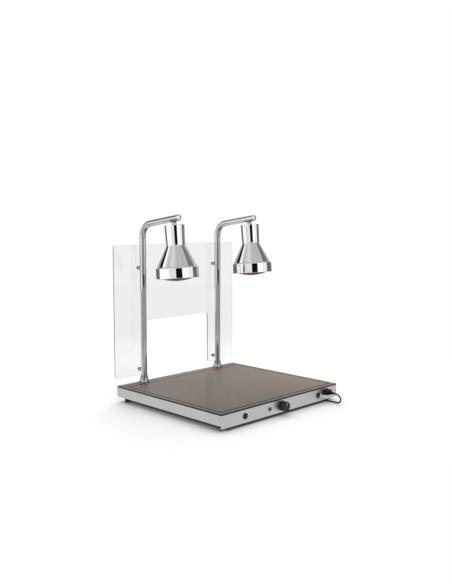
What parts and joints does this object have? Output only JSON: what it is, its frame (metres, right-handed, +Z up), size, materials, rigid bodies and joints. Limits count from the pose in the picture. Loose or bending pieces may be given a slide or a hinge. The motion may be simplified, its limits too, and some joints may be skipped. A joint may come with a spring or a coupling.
{
  "type": "heat lamp warmer",
  "caption": "Countertop food warmer: a glass-topped heated steel base with lamps that swivel and tilt on bent chrome posts, and a clear rear guard with a window.",
  "frame": {"origin": "centre of the outline on the standing surface, at the feet's soles", "axes": "+Z up, +X to the operator's right, -Y towards the operator (control panel side), guard at +Y"},
  "size_m": [0.658, 0.7636, 0.7377],
  "materials": {
    "brushed_steel": "fine brushed",
    "zinc_sheet": "zinc plated",
    "rubber": "matte moulded",
    "plate_glass": "satin tinted",
    "heater_foil": "matte silicone",
    "insulation": "fibrous",
    "black_plastic": "fine moulded",
    "pilot_lens": "translucent",
    "cord_rubber": "satin",
    "chrome": "polished",
    "clear_acrylic": "clear polished",
    "ceramic": "glazed",
    "red_glass": "clear stained"
  },
  "bodies": {
    "base": {"base_housing": "brushed_steel", "front_control_panel": "brushed_steel", "bottom_cover": "zinc_sheet", "thermostat_body": "zinc_sheet", "left_post_stud": "zinc_sheet", "right_post_stud": "zinc_sheet", "left_post_nut": "zinc_sheet", "right_post_nut": "zinc_sheet", "foot_front_left": "rubber", "foot_front_right": "rubber", "foot_rear_left": "rubber", "foot_rear_right": "rubber", "plate_seal": "rubber", "hot_plate_glass": "plate_glass", "heating_mat": "heater_foil", "insulation_board": "insulation", "pilot_light_bezel": "black_plastic", "left_switch_body": "black_plastic", "right_switch_body": "black_plastic", "power_inlet": "black_plastic", "cord_connector": "black_plastic", "cord_strain_relief": "black_plastic", "mains_plug": "black_plastic", "pilot_light_lens": "pilot_lens", "power_cord": "cord_rubber", "cord_coil": "cord_rubber", "wiring_loom": "cord_rubber", "left_post_tube": "chrome", "right_post_tube": "chrome", "left_post_flange": "chrome", "right_post_flange": "chrome", "left_arm_cap": "chrome", "right_arm_cap": "chrome", "guard_standoff_lower_left": "chrome", "guard_standoff_upper_left": "chrome", "guard_standoff_lower_right": "chrome", "guard_standoff_upper_right": "chrome", "guard_screw_lower_left": "chrome", "guard_screw_upper_left": "chrome", "guard_screw_lower_right": "chrome", "guard_screw_upper_right": "chrome", "guard_panel": "clear_acrylic"},
    "knob": {"thermostat_knob": "black_plastic", "thermostat_shaft": "zinc_sheet"},
    "left_rocker": {"left_switch_rocker": "black_plastic"},
    "right_rocker": {"right_switch_rocker": "black_plastic"},
    "left_swivel": {"left_swivel_stem": "chrome", "left_tilt_pin": "chrome"},
    "left_lamp": {"left_neck_cap": "chrome", "left_lamp_neck": "chrome", "left_lamp_shade": "chrome", "left_lamp_socket": "ceramic", "left_bulb": "red_glass"},
    "right_swivel": {"right_swivel_stem": "chrome", "right_tilt_pin": "chrome"},
    "right_lamp": {"right_neck_cap": "chrome", "right_lamp_neck": "chrome", "right_lamp_shade": "chrome", "right_lamp_socket": "ceramic", "right_bulb": "red_glass"}
  },
  "joints": [
    {"name": "thermostat_turn", "type": "hinge", "parent": "base", "child": "knob", "pos_m": [-0.009, -0.2885, 0.036], "axis": [0, 1, 0], "range_deg": [0, 270]},
    {"name": "left_switch_rock", "type": "hinge", "parent": "base", "child": "left_rocker", "pos_m": [-0.206, -0.284, 0.036], "axis": [1, 0, 0], "range_deg": [-14, 0]},
    {"name": "right_switch_rock", "type": "hinge", "parent": "base", "child": "right_rocker", "pos_m": [0.206, -0.284, 0.036], "axis": [1, 0, 0], "range_deg": [-14, 0]},
    {"name": "left_lamp_swivel", "type": "hinge", "parent": "base", "child": "left_swivel", "pos_m": [-0.207, 0.082, 0.7035], "axis": [0, 0.1323, 0.9912], "range_deg": [-90, 90]},
    {"name": "left_lamp_tilt", "type": "hinge", "parent": "left_swivel", "child": "left_lamp", "pos_m": [-0.207, 0.082, 0.7035], "axis": [1, 0, 0], "range_deg": [-15, 7]},
    {"name": "right_lamp_swivel", "type": "hinge", "parent": "base", "child": "right_swivel", "pos_m": [0.207, 0.082, 0.7035], "axis": [0, 0.1323, 0.9912], "range_deg": [-90, 90]},
    {"name": "right_lamp_tilt", "type": "hinge", "parent": "right_swivel", "child": "right_lamp", "pos_m": [0.207, 0.082, 0.7035], "axis": [1, 0, 0], "range_deg": [-15, 7]}
  ]
}
